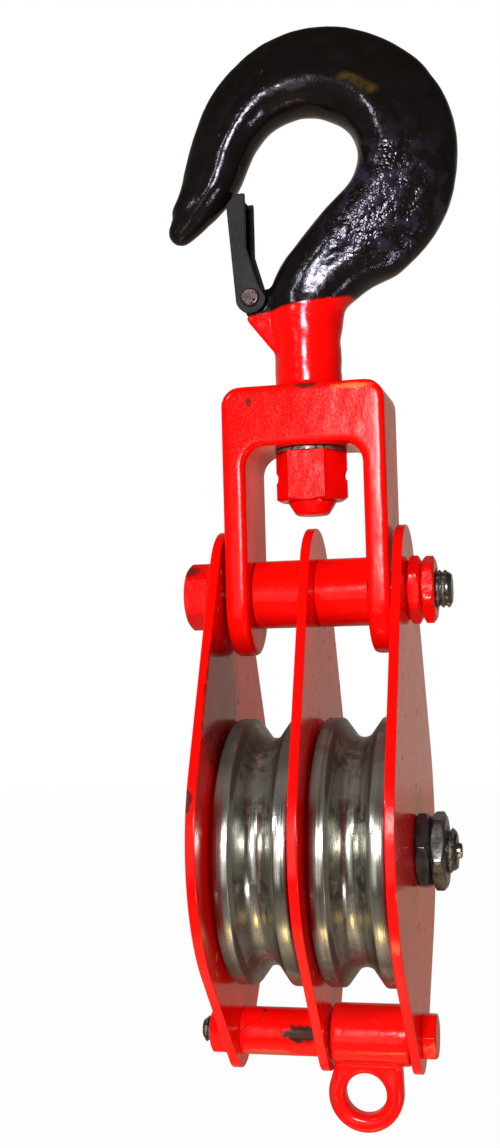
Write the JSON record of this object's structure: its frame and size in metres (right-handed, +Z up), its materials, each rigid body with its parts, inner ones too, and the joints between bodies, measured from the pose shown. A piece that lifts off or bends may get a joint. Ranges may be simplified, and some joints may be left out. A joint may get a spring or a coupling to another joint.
{
  "type": "swivel hook pulley block",
  "caption": "Hoisting pulley block: swivel hook with a spring latch, yoke, flat steel cheeks, grooved sheaves side by side on one axle, and a becket eye for the rope end.",
  "frame": {"origin": "centre of the hook bowl, where the load ring sits", "axes": "+Z up along the shank, +X along the bolts towards their nut ends, -Y is the front"},
  "size_m": [0.0954, 0.1074, 0.3505],
  "materials": {
    "red_paint": "gloss enamel",
    "black_paint": "gloss over a forged skin",
    "dark_steel": "oiled black oxide",
    "spring_steel": "drawn wire",
    "turned_steel": "turned, with a film of old oil",
    "bronze": "turned",
    "brass_fitting": "worn"
  },
  "bodies": {
    "hook": {"hook": "black_paint", "thrust_washer": "dark_steel", "hook_nut": "red_paint", "hook_nut_pin": "dark_steel"},
    "latch": {"hook_latch": "black_paint", "latch_pin": "dark_steel", "latch_spring": "spring_steel"},
    "yoke": {"yoke": "red_paint"},
    "cheeks": {"side_plate_left": "red_paint", "side_plate_centre": "red_paint", "side_plate_right": "red_paint", "top_bolt": "dark_steel", "top_bolt_washer": "red_paint", "top_bolt_nut": "red_paint", "top_bolt_lock_nut": "red_paint", "top_spacer_left": "red_paint", "top_spacer_right": "red_paint", "axle": "dark_steel", "axle_nut": "dark_steel", "axle_lock_nut": "dark_steel", "grease_nipple": "brass_fitting", "axle_sleeve_left": "dark_steel", "axle_sleeve_right": "dark_steel", "bottom_bolt": "dark_steel", "bottom_bolt_nut": "red_paint", "bottom_spacer": "red_paint"},
    "sheave_left": {"sheave_left": "turned_steel", "sheave_bush_left": "bronze"},
    "sheave_right": {"sheave_right": "turned_steel", "sheave_bush_right": "bronze"},
    "becket": {"becket_eye": "red_paint"}
  },
  "joints": [
    {"name": "latch_pivot", "type": "hinge", "parent": "hook", "child": "latch", "pos_m": [-0.017, 0, -0.0415], "axis": [0, 1, 0], "range_deg": [0, 30], "stiffness_Nm_per_rad": 0.02, "springref_deg": -20.05},
    {"name": "hook_swivel", "type": "hinge", "parent": "hook", "child": "yoke", "pos_m": [0, 0, -0.0809], "axis": [0, 0, 1], "continuous": true},
    {"name": "cheek_swing", "type": "hinge", "parent": "yoke", "child": "cheeks", "pos_m": [0, 0, -0.1365], "axis": [1, 0, 0], "range_deg": [-75, 75]},
    {"name": "sheave_left_spin", "type": "hinge", "parent": "cheeks", "child": "sheave_left", "pos_m": [-0.01425, 0, -0.2175], "axis": [1, 0, 0], "continuous": true},
    {"name": "sheave_right_spin", "type": "hinge", "parent": "cheeks", "child": "sheave_right", "pos_m": [0.01425, 0, -0.2175], "axis": [1, 0, 0], "continuous": true},
    {"name": "becket_swing", "type": "hinge", "parent": "cheeks", "child": "becket", "pos_m": [0.0142, 0, -0.2742], "axis": [1, 0, 0], "range_deg": [-60, 60]}
  ]
}
